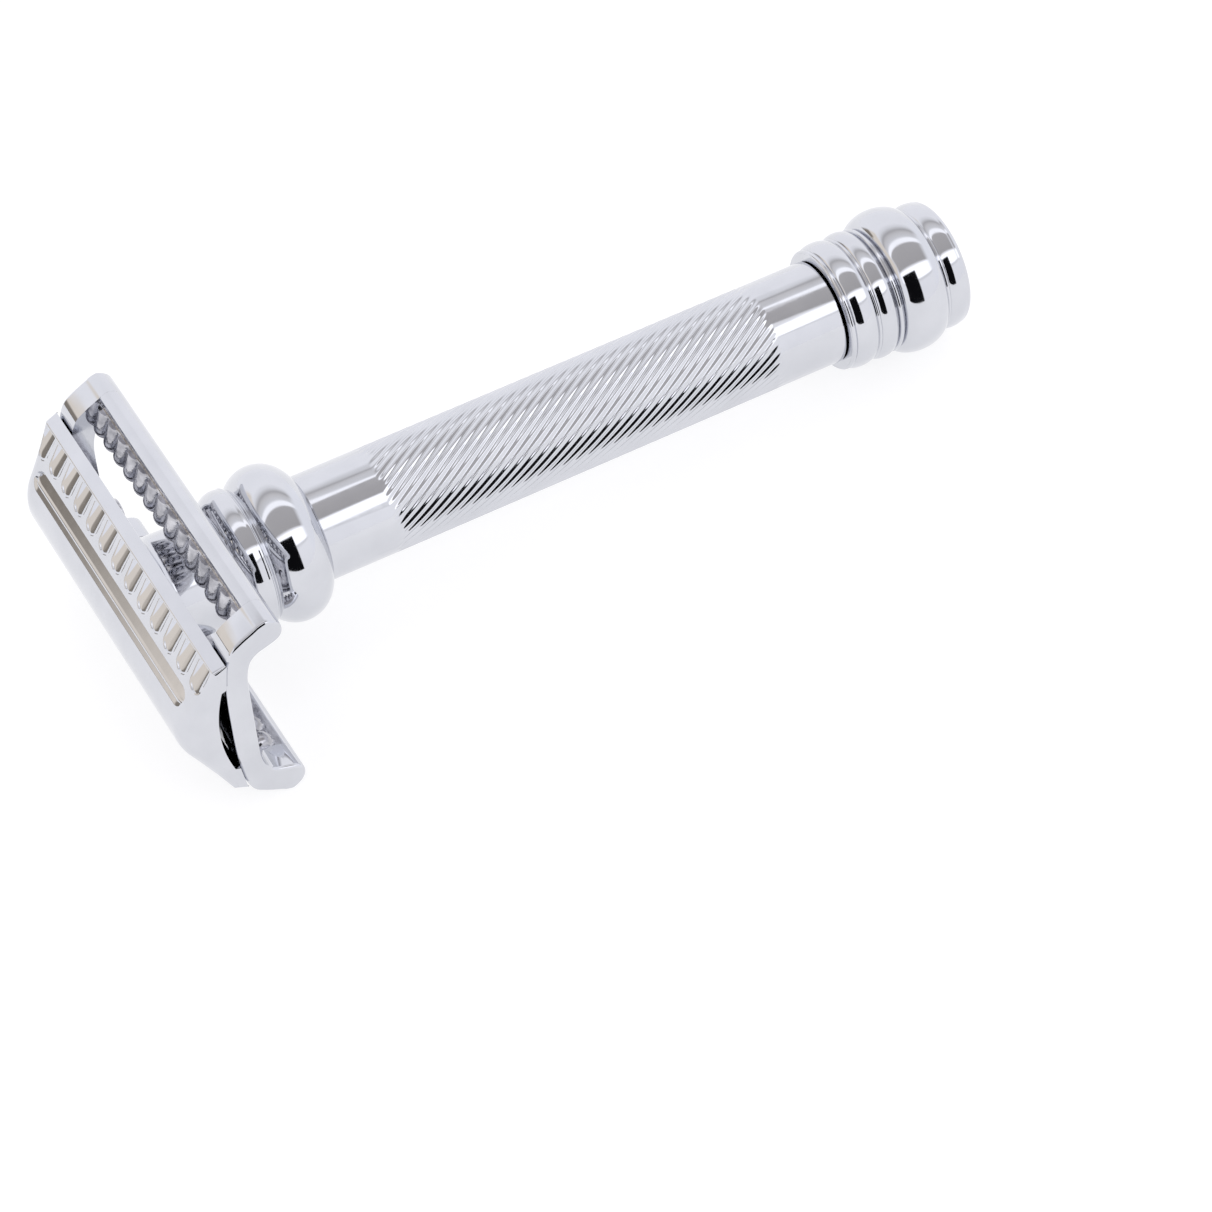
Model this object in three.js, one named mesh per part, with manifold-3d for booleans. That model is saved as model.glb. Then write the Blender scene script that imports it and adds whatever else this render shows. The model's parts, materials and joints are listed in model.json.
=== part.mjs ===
// Double-edge safety razor with a long handle, lying on its side as it does on a table.
// Millimetres, +Z up. Inside the razor group, X runs along the handle from the head to the knob,
// Y along the edge of the head, and Z across the head from one guard bar to the other.
// X = 0 is the ridge of the guard bars. The group is then tilted until a guard bar and the
// largest ring of the knob both rest on Z = 0.

import * as THREE from 'three';
import { mergeVertices } from 'three/addons/utils/BufferGeometryUtils.js';
import Module from 'manifold-3d';

const wasm = await Module();
wasm.setup();

// ---- driving dimensions -------------------------------------------------------------------

const GAP = 0.3; // between neighbouring pieces
const SEGMENTS = 36; // facets round a turned piece
const SMALL_SEGMENTS = 24; // round the small inner pieces
const PIN_SEGMENTS = 16; // round the posts and their holes
const ROUND_END_RINGS = 3; // rings of facets in the round ends of flutes and lobes
const FLUTE_SEGMENTS = 14;
const LOBE_SEGMENTS = 10;
const OVERLAP = 0.2; // pieces that are joined run this far into each other
const CUT_PAST = 2; // a cut runs this far beyond the face it opens

// cap
const CAP_LENGTH = 42.0;
const CAP_HALF_WIDTH = 9.28;
const CAP_CROWN = -9.85;
const CAP_EDGE = -4.33;
const CAP_CROWN_RADIUS = 6.0;
const CAP_FLANK_SLOPE = 0.62;
const CAP_STRIP_START = 8.75; // where the flank turns down into the narrow edge strip
const CAP_UNDER_CENTRE = -5.95;
const CAP_UNDER_EDGE = -4.7;
const CAP_UNDER_HALF_WIDTH = 7.4;
const GROOVE_FROM = 3.1; // the long groove on each flank
const GROOVE_TO = 5.15;
const GROOVE_DEPTH = 0.45;
const FLUTE_COUNT = 13;
const FLUTE_PITCH = 3.19;
const FLUTE_RADIUS = 1.75;
const FLUTE_DEPTH = 0.5;
const FLUTE_LENGTH = 2.6; // between the middles of its two round ends
const FLUTE_MIDDLE = 8.1;
const CAP_END_ROUND = 2.75; // the rounding of the crown at both ends
const CAP_STEPS = 5; // straight pieces in each curved part of the cap's section
const END_STEPS = 6;
const POST_SPACING = 26;
const POST_RADIUS = 1.5;
const POST_END = -1.6;
const CAP_BOSS_RADIUS = 4.2;
const CAP_BOSS_END = -4.95;
const CAP_ROOT = CAP_UNDER_CENTRE - 1; // where the posts and the boss start inside the cap
const STUD_RADIUS = 2.5;
const STUD_SOCKET_FLOOR = -8.2;
const STUD_END = 12.4;

// base plate
const PLATE_LENGTH = 41.6;
const RIB_WIDTH = 3.5; // the solid end of the plate, from its end face to the slots
const PLATE_TOP = -4.58;
const PLATE_TOP_EDGE = -4.02;
const RIB_UNDERSIDE = -1.97;
const WEB_UNDERSIDE = -3.35;
const WEB_HALF_WIDTH = 6.7;
const WEB_TOP_EDGE = -4.3;
const GUARD_RIDGE = 12.48; // half of the span between the two ridges
const RIDGE_AT = -0.15;
const GUARD_SPAN = 25.6;
const WIDEST_AT = 0.95; // where the guard bars are furthest apart
const BAR_INNER = 9.0;
const BAR_BOTTOM = 2.5;
const LOBE_COUNT = 14;
const LOBE_PITCH = 2.5;
const LOBE_RADIUS = 1.26;
const LOBE_TIP = [9.2, -0.48]; // across and along, at the middle of the lobe's rounded end
const LOBE_ROOT = [12.3, 0.75];
const LOBE_CEILING = [10, -2.4]; // the lobes stay under a line from here to the ridge
const BOSS_RADIUS = 6.0;
const BOSS_END = 3.6;
const SPIGOT_END = 9.2;
const COUNTERBORE_DEPTH = 1.2;

// neck and handle
const COLLAR_START = 3.9;
const COLLAR_END = 13.75;
const COLLAR_STEPS = 22;
const TUBE_RADIUS = 5.89;
const TUBE_END = 76.45;
const GRIP_FROM = 21.7; // the spiral grooves
const GRIP_TO = 68.8;
const GRIP_GROOVES = 40;
const GRIP_DEPTH = 0.22;
const GRIP_LEAD = 62;
const GRIP_STEPS = 24;
const BORE_RADIUS = 4.9;
const SLEEVE_RADIUS = BORE_RADIUS - GAP;
const SLEEVE_BORE = 4.0;
const SLEEVE_END = 22;
const NUT_RADIUS = SLEEVE_BORE - GAP;
const NUT_START = 5.4;
const NUT_END = 21.5;
const NUT_BORE_END = 17.5;
const NUT_STOP_LENGTH = 1; // the inner ring at the end of the thread
const NUT_STOP_HEIGHT = 0.8;
const ROD_RADIUS = 2.5;
const ROD_END = 86.2;
const REAR_BUSH_START = 70;
const NECK_BUSH_LENGTH = 4;
const CLIP_THICKNESS = 0.7;
const CLIP_CLEARANCE = 0.4;
const CLIP_OPENING = 0.5; // half of the open sector, in radians
const SPRING_THICKNESS = 0.3;
const SPRING_WAVE = 0.15;
const SPRING_WAVES = 3;
const SPRING_CLEARANCE = 0.2;
const WASHER_THICKNESS = 0.5;

// knob
const KNOB_START = TUBE_END + GAP;
const KNOB_END = 91.9;
const KNOB_RECESS_END = KNOB_START + 1.9;
const KNOB_STEPS = 30;
const KNOB_CORE_RADIUS = 5.9;
const KNOB_EDGE_ROUND = 0.75;
const SCREW_RADIUS = 1.6;
const SCREW_HEAD_RADIUS = 3.1;
const SCREW_SEAT = 88.3;
const SCREW_LENGTH_IN_ROD = 4;
const SCREW_BORE_DEPTH = 5;
const SCREW_HEAD_HEIGHT = 1.6;
const SOCKET_RADIUS = 1.3;
const SOCKET_DEPTH = 1;
const PLUG_RADIUS = 3.4;
const PLUG_INSET = 0.1;

// The rings of the neck and the knob: place along the axis, outer radius, half width, height.
const COLLAR_RINGS = [
  { at: 6.1, radius: 7.74, halfWidth: 2.15, height: 2.0 },
  { at: 10.5, radius: 8.73, halfWidth: 3.75, height: 3.75 },
];
const KNOB_RINGS = [
  { at: 78.75, radius: 7.31, halfWidth: 2.0, height: 0.9 },
  { at: 81.5, radius: 7.38, halfWidth: 1.5, height: 0.7 },
  { at: 86.2, radius: 8.3, halfWidth: 3.3, height: 1.8 },
  { at: 90.5, radius: 7.31, halfWidth: 1.75, height: 0.8 },
];
const KNOB_LARGEST_RING = KNOB_RINGS[2];

// ---- materials ----------------------------------------------------------------------------

function metal(name, color, roughness) {
  const material = new THREE.MeshStandardMaterial({ color, roughness, metalness: 1 });
  material.name = name;
  return material;
}

const chrome = () => metal('chrome', 0xd9dbe2, 0.06);
const brass = () => metal('brass', 0xc9a24b, 0.3);
const steel = () => metal('steel', 0xa9abb0, 0.3);

// ---- solids -------------------------------------------------------------------------------

function bareGeometry(geometry) {
  const bare = geometry.clone();
  bare.deleteAttribute('normal');
  bare.deleteAttribute('uv');
  return mergeVertices(bare, 1e-4);
}

function signedVolume(geometry) {
  const position = geometry.attributes.position;
  const index = geometry.index.array;
  const [a, b, c] = [new THREE.Vector3(), new THREE.Vector3(), new THREE.Vector3()];
  let total = 0;
  for (let i = 0; i < index.length; i += 3) {
    a.fromBufferAttribute(position, index[i]);
    b.fromBufferAttribute(position, index[i + 1]);
    c.fromBufferAttribute(position, index[i + 2]);
    total += a.dot(b.cross(c)) / 6;
  }
  return total;
}

function facingOut(geometry) {
  const closed = bareGeometry(geometry);
  if (signedVolume(closed) < 0) closed.index.array.reverse();
  return closed;
}

function solidOf(geometry) {
  const closed = facingOut(geometry);
  return new wasm.Manifold(new wasm.Mesh({
    numProp: 3,
    vertProperties: Float32Array.from(closed.attributes.position.array),
    triVerts: Uint32Array.from(closed.index.array),
  }));
}

function geometryOf(solid) {
  const mesh = solid.getMesh();
  const geometry = new THREE.BufferGeometry();
  geometry.setAttribute('position', new THREE.BufferAttribute(mesh.vertProperties, 3));
  geometry.setIndex(new THREE.BufferAttribute(mesh.triVerts, 1));
  return geometry;
}

// A closed ring or disc turned about the X axis, from [along, radius] points in order.
function turned(points, segments = SEGMENTS) {
  const outline = points.map(([along, radius]) => new THREE.Vector2(radius, along));
  if (points[0][1] > 0) outline.push(outline[0].clone());
  return facingOut(new THREE.LatheGeometry(outline, segments).rotateZ(-Math.PI / 2));
}

function rod(from, to, radius, segments = SEGMENTS) {
  return turned([[from, 0], [from, radius], [to, radius], [to, 0]], segments);
}

function tube(from, to, outer, inner, segments = SEGMENTS) {
  return turned([[from, inner], [from, outer], [to, outer], [to, inner]], segments);
}

// A section drawn as [across, along] points, extruded over a length centred on a place along Y.
const SECTION_TO_RAZOR = new THREE.Matrix4().makeBasis(
  new THREE.Vector3(0, 0, 1),
  new THREE.Vector3(1, 0, 0),
  new THREE.Vector3(0, 1, 0),
);

function extruded(section, length, middle = 0) {
  const shape = new THREE.Shape(section.map(([across, along]) => new THREE.Vector2(across, along)));
  const geometry = new THREE.ExtrudeGeometry(shape, { depth: length, bevelEnabled: false });
  geometry.translate(0, 0, middle - length / 2);
  return facingOut(geometry.applyMatrix4(SECTION_TO_RAZOR));
}

function mirrored(section) {
  return section.map(([across, along]) => [-across, along]).reverse();
}

function ringRadius(rings, core, along) {
  let radius = core;
  for (const ring of rings) {
    const offset = (along - ring.at) / ring.halfWidth;
    if (Math.abs(offset) >= 1) continue;
    radius = Math.max(radius, ring.radius - ring.height * (1 - Math.sqrt(1 - offset * offset)));
  }
  return radius;
}

function ringProfile(rings, core, from, to, steps) {
  const points = [];
  for (let i = 0; i <= steps; i += 1) {
    const along = from + ((to - from) * i) / steps;
    points.push([along, ringRadius(rings, core, along)]);
  }
  return points;
}

// ---- cap ----------------------------------------------------------------------------------

const CROWN_ANGLE = Math.atan(CAP_FLANK_SLOPE);
const CROWN_CENTRE = CAP_CROWN + CAP_CROWN_RADIUS;

function capSurface(across) {
  const offset = Math.abs(across);
  const crownEnd = CAP_CROWN_RADIUS * Math.sin(CROWN_ANGLE);
  if (offset <= crownEnd) return CROWN_CENTRE - Math.sqrt(CAP_CROWN_RADIUS ** 2 - offset ** 2);
  const crownEdge = CROWN_CENTRE - CAP_CROWN_RADIUS * Math.cos(CROWN_ANGLE);
  return crownEdge + CAP_FLANK_SLOPE * (offset - crownEnd);
}

function capHalfOutline() {
  const points = [];
  for (let i = 0; i <= CAP_STEPS; i += 1) {
    const across = (GROOVE_FROM * i) / CAP_STEPS;
    points.push([across, capSurface(across)]);
  }
  for (let i = 1; i <= CAP_STEPS; i += 1) {
    const across = GROOVE_FROM + ((GROOVE_TO - GROOVE_FROM) * i) / CAP_STEPS;
    points.push([across, capSurface(across) + GROOVE_DEPTH * Math.sin((Math.PI * i) / CAP_STEPS)]);
  }
  points.push([CAP_STRIP_START, capSurface(CAP_STRIP_START)], [CAP_HALF_WIDTH, CAP_EDGE]);
  for (let i = 0; i <= CAP_STEPS; i += 1) {
    const across = CAP_UNDER_HALF_WIDTH * (1 - i / CAP_STEPS);
    const share = (across / CAP_UNDER_HALF_WIDTH) ** 2;
    points.push([across, CAP_UNDER_CENTRE + (CAP_UNDER_EDGE - CAP_UNDER_CENTRE) * share]);
  }
  return points;
}

// The cap seen from its long side: square below, rounded off at both ends of the crown.
function capSideView() {
  const half = [[0, 0], [CAP_LENGTH / 2, 0]];
  for (let i = 0; i <= END_STEPS; i += 1) {
    const angle = (Math.PI / 2) * (i / END_STEPS);
    half.push([
      CAP_LENGTH / 2 - CAP_END_ROUND * (1 - Math.cos(angle)),
      CAP_CROWN + CAP_END_ROUND * (1 - Math.sin(angle)),
    ]);
  }
  return [...half, ...mirrored(half).slice(0, -1)];
}

function fluteGeometry(side, middle) {
  const flute = new THREE.CapsuleGeometry(FLUTE_RADIUS, FLUTE_LENGTH, ROUND_END_RINGS, FLUTE_SEGMENTS);
  flute.rotateX(Math.PI / 2);
  flute.rotateY(side * CROWN_ANGLE);
  const lift = (FLUTE_RADIUS - FLUTE_DEPTH) / Math.cos(CROWN_ANGLE);
  return flute.translate(capSurface(FLUTE_MIDDLE) - lift, middle, side * FLUTE_MIDDLE);
}

function capGeometry() {
  const half = capHalfOutline();
  const outline = [...half, ...mirrored(half).slice(1, -1)];
  const sideView = extruded(capSideView(), 2 * CAP_HALF_WIDTH + CUT_PAST).rotateX(Math.PI / 2);
  let cap = solidOf(extruded(outline, CAP_LENGTH)).intersect(solidOf(sideView));
  cap = cap.add(solidOf(rod(CAP_ROOT, CAP_BOSS_END, CAP_BOSS_RADIUS)));
  for (const side of [-1, 1]) {
    const post = rod(CAP_ROOT, POST_END, POST_RADIUS, PIN_SEGMENTS);
    cap = cap.add(solidOf(post.translate(0, (side * POST_SPACING) / 2, 0)));
    for (let i = 0; i < FLUTE_COUNT; i += 1) {
      const middle = (i - (FLUTE_COUNT - 1) / 2) * FLUTE_PITCH;
      cap = cap.subtract(solidOf(fluteGeometry(side, middle)));
    }
  }
  return geometryOf(cap.subtract(solidOf(rod(STUD_SOCKET_FLOOR, 0, STUD_RADIUS + GAP))));
}

// ---- base plate ---------------------------------------------------------------------------

// The guard bar from its ridge round the outside to its inner side.
const BAR_OUTSIDE = [
  [GUARD_RIDGE, RIDGE_AT],
  [GUARD_SPAN / 2, WIDEST_AT],
  [12.3, 1.8],
  [11.7, 2.3],
  [11.0, BAR_BOTTOM],
  [10.2, 2.35],
  [9.6, 1.8],
  [BAR_INNER, 0.2],
];

// Half of the end rib, from the middle of its cap side round the guard bar to its underside.
const RIB_HALF = [
  [0, PLATE_TOP],
  [5.0, -4.47],
  [8.8, PLATE_TOP_EDGE],
  [10.5, -3.3],
  [11.5, -2.15],
  ...BAR_OUTSIDE,
  [8.5, -0.6],
  [7.6, -1.35],
  [5.9, -1.85],
  [0, RIB_UNDERSIDE],
];

// The bar between the ribs keeps the rib's outer side and stops at the slot.
const BAR_SECTION = [...BAR_OUTSIDE, [9.4, -0.1]];

function lobeGeometry(side, middle) {
  const across = LOBE_ROOT[0] - LOBE_TIP[0];
  const along = LOBE_ROOT[1] - LOBE_TIP[1];
  const length = Math.hypot(across, along);
  const lobe = new THREE.CapsuleGeometry(LOBE_RADIUS, length, ROUND_END_RINGS, LOBE_SEGMENTS);
  lobe.rotateX(side * Math.PI / 2);
  lobe.rotateY(side * Math.atan2(along, across));
  const middleAcross = (LOBE_ROOT[0] + LOBE_TIP[0]) / 2;
  const middleAlong = (LOBE_ROOT[1] + LOBE_TIP[1]) / 2;
  return lobe.translate(middleAlong, middle, side * middleAcross);
}

function basePlateGeometry() {
  const rib = [...RIB_HALF, ...mirrored(RIB_HALF).slice(1, -1)];
  const slotLength = PLATE_LENGTH - 2 * RIB_WIDTH;
  let plate = solidOf(rod(WEB_UNDERSIDE - OVERLAP, BOSS_END, BOSS_RADIUS));
  for (const side of [-1, 1]) {
    const middle = (side * (PLATE_LENGTH - RIB_WIDTH)) / 2;
    plate = plate.add(solidOf(extruded(rib, RIB_WIDTH, middle)));
    const bar = side < 0 ? mirrored(BAR_SECTION) : BAR_SECTION;
    plate = plate.add(solidOf(extruded(bar, slotLength + 2 * OVERLAP)));
  }
  const web = [
    [-WEB_HALF_WIDTH, WEB_UNDERSIDE],
    [WEB_HALF_WIDTH, WEB_UNDERSIDE],
    [WEB_HALF_WIDTH, WEB_TOP_EDGE],
    [0, PLATE_TOP],
    [-WEB_HALF_WIDTH, WEB_TOP_EDGE],
  ];
  plate = plate.add(solidOf(extruded(web, slotLength + 2 * OVERLAP)));
  const barBody = [
    [-GUARD_SPAN / 2, WIDEST_AT],
    [GUARD_SPAN / 2, WIDEST_AT],
    [GUARD_RIDGE, RIDGE_AT],
    LOBE_CEILING,
    [-LOBE_CEILING[0], LOBE_CEILING[1]],
    [-GUARD_RIDGE, RIDGE_AT],
  ];
  const lobeLimit = solidOf(extruded(barBody, slotLength));
  for (const side of [-1, 1]) {
    for (let i = 0; i < LOBE_COUNT; i += 1) {
      const middle = (i - (LOBE_COUNT - 1) / 2) * LOBE_PITCH;
      plate = plate.add(solidOf(lobeGeometry(side, middle)).intersect(lobeLimit));
    }
  }
  plate = plate.add(solidOf(tube(BOSS_END - OVERLAP, SPIGOT_END, SLEEVE_RADIUS, SLEEVE_BORE)));
  plate = plate.subtract(solidOf(rod(PLATE_TOP - CUT_PAST, BOSS_END + CUT_PAST, STUD_RADIUS + GAP)));
  plate = plate.subtract(solidOf(rod(BOSS_END - COUNTERBORE_DEPTH, BOSS_END + CUT_PAST, SLEEVE_BORE)));
  for (const side of [-1, 1]) {
    const hole = rod(PLATE_TOP - CUT_PAST, 0, POST_RADIUS + GAP, PIN_SEGMENTS);
    plate = plate.subtract(solidOf(hole.translate(0, (side * POST_SPACING) / 2, 0)));
  }
  return geometryOf(plate);
}

// ---- turned pieces ------------------------------------------------------------------------

function collarGeometry() {
  const outside = ringProfile(COLLAR_RINGS, TUBE_RADIUS, COLLAR_START, COLLAR_END, COLLAR_STEPS);
  return turned([[COLLAR_START, BORE_RADIUS], ...outside, [COLLAR_END, BORE_RADIUS]]);
}

// The grip: plain at both ends, left-hand spiral grooves between, and a bore right through.
function gripGeometry() {
  const start = COLLAR_END + GAP;
  const outline = [[start, 0], [start, TUBE_RADIUS]];
  for (let i = 0; i <= GRIP_STEPS; i += 1) {
    outline.push([GRIP_FROM + ((GRIP_TO - GRIP_FROM) * i) / GRIP_STEPS, TUBE_RADIUS]);
  }
  outline.push([TUBE_END, TUBE_RADIUS], [TUBE_END, 0]);
  const grip = turned(outline, 2 * GRIP_GROOVES);
  const position = grip.attributes.position;
  for (let i = 0; i < position.count; i += 1) {
    const along = position.getX(i);
    const angle = Math.atan2(position.getZ(i), position.getY(i));
    const odd = Math.abs(Math.round((angle * GRIP_GROOVES) / Math.PI)) % 2 === 1;
    const grooved = odd && along > GRIP_FROM + OVERLAP && along < GRIP_TO - OVERLAP;
    const radius = Math.hypot(position.getY(i), position.getZ(i)) - (grooved ? GRIP_DEPTH : 0);
    const spiral = THREE.MathUtils.clamp(along, GRIP_FROM, GRIP_TO) - GRIP_FROM;
    const twisted = angle - (2 * Math.PI * spiral) / GRIP_LEAD;
    position.setXYZ(i, along, radius * Math.cos(twisted), radius * Math.sin(twisted));
  }
  return geometryOf(solidOf(grip).subtract(solidOf(rod(0, TUBE_END + CUT_PAST, BORE_RADIUS))));
}

function knobGeometry() {
  const lastRing = KNOB_END - KNOB_EDGE_ROUND;
  const outside = ringProfile(KNOB_RINGS, KNOB_CORE_RADIUS, KNOB_START, lastRing, KNOB_STEPS);
  const flatRadius = outside[outside.length - 1][1] - KNOB_EDGE_ROUND;
  const corner = [1, 2].map((i) => {
    const angle = (i * Math.PI) / 4;
    return [lastRing + KNOB_EDGE_ROUND * Math.sin(angle), flatRadius + KNOB_EDGE_ROUND * Math.cos(angle)];
  });
  const bore = ROD_RADIUS + GAP;
  return turned([
    [KNOB_START, BORE_RADIUS],
    ...outside,
    ...corner,
    [KNOB_END, PLUG_RADIUS + GAP],
    [SCREW_SEAT, PLUG_RADIUS + GAP],
    [SCREW_SEAT, SCREW_RADIUS + GAP],
    [ROD_END + GAP, SCREW_RADIUS + GAP],
    [ROD_END + GAP, bore],
    [KNOB_RECESS_END, bore],
    [KNOB_RECESS_END, BORE_RADIUS],
  ]);
}

function rodGeometry() {
  const front = NUT_BORE_END + NUT_STOP_LENGTH + GAP;
  return turned([
    [front, 0],
    [front, ROD_RADIUS],
    [ROD_END, ROD_RADIUS],
    [ROD_END, SCREW_RADIUS + GAP],
    [ROD_END - SCREW_BORE_DEPTH, SCREW_RADIUS + GAP],
    [ROD_END - SCREW_BORE_DEPTH, 0],
  ], SMALL_SEGMENTS);
}

function nutGeometry() {
  const bore = STUD_RADIUS + GAP;
  const stopEnd = NUT_BORE_END + NUT_STOP_LENGTH;
  return turned([
    [NUT_START, bore],
    [NUT_START, NUT_RADIUS],
    [NUT_END, NUT_RADIUS],
    [NUT_END, bore],
    [stopEnd, bore],
    [stopEnd, bore - NUT_STOP_HEIGHT],
    [NUT_BORE_END, bore - NUT_STOP_HEIGHT],
    [NUT_BORE_END, bore],
  ], SMALL_SEGMENTS);
}

function screwGeometry() {
  const headStart = SCREW_SEAT + GAP;
  const headEnd = headStart + SCREW_HEAD_HEIGHT;
  const tip = ROD_END - SCREW_LENGTH_IN_ROD;
  return turned([
    [tip, 0],
    [tip, SCREW_RADIUS],
    [headStart, SCREW_RADIUS],
    [headStart, SCREW_HEAD_RADIUS],
    [headEnd, SCREW_HEAD_RADIUS],
    [headEnd, SOCKET_RADIUS],
    [headEnd - SOCKET_DEPTH, SOCKET_RADIUS],
    [headEnd - SOCKET_DEPTH, 0],
  ], SMALL_SEGMENTS);
}

// A clip that grips the rod, open over a sector.
function clipGeometry() {
  const clip = new THREE.Shape();
  clip.absarc(0, 0, SLEEVE_RADIUS - CLIP_CLEARANCE, CLIP_OPENING, 2 * Math.PI - CLIP_OPENING, false);
  clip.absarc(0, 0, ROD_RADIUS + GAP, 2 * Math.PI - CLIP_OPENING, CLIP_OPENING, true);
  const options = { depth: CLIP_THICKNESS, bevelEnabled: false, curveSegments: PIN_SEGMENTS };
  return facingOut(new THREE.ExtrudeGeometry(clip, options).rotateY(Math.PI / 2));
}

// A washer bent into waves.
function springWasherGeometry() {
  const outer = SLEEVE_RADIUS - SPRING_CLEARANCE;
  const washer = tube(0, SPRING_THICKNESS, outer, ROD_RADIUS + GAP + SPRING_CLEARANCE);
  const position = washer.attributes.position;
  for (let i = 0; i < position.count; i += 1) {
    const angle = Math.atan2(position.getZ(i), position.getY(i));
    position.setX(i, position.getX(i) + SPRING_WAVE * Math.cos(SPRING_WAVES * angle));
  }
  return washer;
}

// ---- assembly -----------------------------------------------------------------------------

const razor = new THREE.Group();

function place(parent, name, geometry, material, along = 0) {
  const mesh = new THREE.Mesh(geometry, material);
  mesh.name = name;
  mesh.position.x = along;
  parent.add(mesh);
}

const head = new THREE.Group();
place(head, 'top_cap', capGeometry(), chrome());
const studStart = STUD_SOCKET_FLOOR + GAP;
place(head, 'cap_stud', rod(0, STUD_END - studStart, STUD_RADIUS, SMALL_SEGMENTS), steel(), studStart);

const handle = new THREE.Group();
place(handle, 'base_plate', basePlateGeometry(), chrome());
place(handle, 'neck_collar', collarGeometry(), chrome());
const sleeveStart = SPIGOT_END + GAP;
const sleeve = tube(0, SLEEVE_END - sleeveStart, SLEEVE_RADIUS, SLEEVE_BORE);
place(handle, 'neck_sleeve', sleeve, steel(), sleeveStart);
const neckBush = tube(0, NECK_BUSH_LENGTH, SLEEVE_RADIUS, ROD_RADIUS + GAP);
place(handle, 'neck_bush', neckBush, brass(), SLEEVE_END + GAP);
place(handle, 'handle_tube', gripGeometry(), chrome());
const rearBush = tube(0, TUBE_END - REAR_BUSH_START, SLEEVE_RADIUS, ROD_RADIUS + GAP);
place(handle, 'rear_bush', rearBush, brass(), REAR_BUSH_START);

const drive = new THREE.Group();
place(drive, 'draw_nut', nutGeometry(), brass());
place(drive, 'draw_rod', rodGeometry(), steel());
place(drive, 'retaining_clip', clipGeometry(), steel(), REAR_BUSH_START - GAP - CLIP_THICKNESS);
const springStart = TUBE_END + GAP + SPRING_WAVE;
place(drive, 'spring_washer', springWasherGeometry(), steel(), springStart);
const washerStart = springStart + SPRING_THICKNESS + SPRING_WAVE + SPRING_CLEARANCE;
const thrustWasher = tube(0, WASHER_THICKNESS, SLEEVE_RADIUS, ROD_RADIUS + GAP);
place(drive, 'thrust_washer', thrustWasher, brass(), washerStart);
place(drive, 'knob', knobGeometry(), chrome());
place(drive, 'knob_screw', screwGeometry(), steel());
const plugStart = SCREW_SEAT + SCREW_HEAD_HEIGHT + 2 * GAP;
const plug = rod(0, KNOB_END - PLUG_INSET - plugStart, PLUG_RADIUS, SMALL_SEGMENTS);
place(drive, 'knob_plug', plug, chrome(), plugStart);

razor.add(head, handle, drive);

// Tilt about Y until the lower guard bar and the largest ring rest on one level, then set the
// origin under the middle of the whole razor.
const barTouch = new THREE.Vector2(WIDEST_AT, -GUARD_SPAN / 2);
const ringTouch = new THREE.Vector2(KNOB_LARGEST_RING.at, -KNOB_LARGEST_RING.radius);
razor.rotation.y = Math.atan2(ringTouch.y - barTouch.y, ringTouch.x - barTouch.x);
razor.updateMatrixWorld(true);
const box = new THREE.Box3().setFromObject(razor, true);
razor.position.set(-(box.min.x + box.max.x) / 2, -(box.min.y + box.max.y) / 2, -box.min.z);

export default razor;
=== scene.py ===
import json
import math

import bpy
import numpy as np
from mathutils import Matrix, Vector


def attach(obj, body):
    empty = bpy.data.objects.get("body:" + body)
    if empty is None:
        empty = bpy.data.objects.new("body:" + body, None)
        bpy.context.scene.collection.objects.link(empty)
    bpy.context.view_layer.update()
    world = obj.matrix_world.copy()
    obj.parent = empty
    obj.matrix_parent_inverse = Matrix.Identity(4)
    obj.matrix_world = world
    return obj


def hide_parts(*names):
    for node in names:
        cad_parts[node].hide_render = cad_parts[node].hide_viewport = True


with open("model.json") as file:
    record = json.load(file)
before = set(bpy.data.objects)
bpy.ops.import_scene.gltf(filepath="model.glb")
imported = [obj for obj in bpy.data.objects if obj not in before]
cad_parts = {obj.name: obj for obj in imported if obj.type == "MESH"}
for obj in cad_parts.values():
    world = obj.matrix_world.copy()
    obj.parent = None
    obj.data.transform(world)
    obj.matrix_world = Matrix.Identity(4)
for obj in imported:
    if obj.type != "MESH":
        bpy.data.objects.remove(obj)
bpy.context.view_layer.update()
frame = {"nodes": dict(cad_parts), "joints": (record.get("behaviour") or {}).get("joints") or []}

MM = 0.001

# ---- the razor's own frame ------------------------------------------------------------------
# A runs along the handle from the head to the knob, B along the edge, C across the head, and
# A = 0 is the ridge of the guard bars. Shapes are drawn in it in millimetres.

KNOB_TURN = next(j for j in frame["joints"] if j["name"] == "knob_turn")
ALONG = Vector(KNOB_TURN["axis"]).normalized()
if ALONG.x < 0:
    ALONG.negate()
EDGE = Vector((0, 1, 0))
ACROSS = ALONG.cross(EDGE)
RAZOR_AXES = Matrix((ALONG, EDGE, ACROSS)).transposed().to_4x4()
RAZOR = Matrix.Translation(Vector(KNOB_TURN["pos_m"])) @ RAZOR_AXES

# ---- camera ---------------------------------------------------------------------------------

CAMERA_AT = Vector((-0.10939, -0.27569, 0.31977))
CAMERA_RIGHT = Vector((0.87027, -0.48273, -0.09800))
CAMERA_LOOKS = Vector((0.25280, 0.60847, -0.75223))
CAMERA_LENS_MM = 118.9
CAMERA_SENSOR_MM = 36
CAMERA_NEAREST = 0.01

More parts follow.
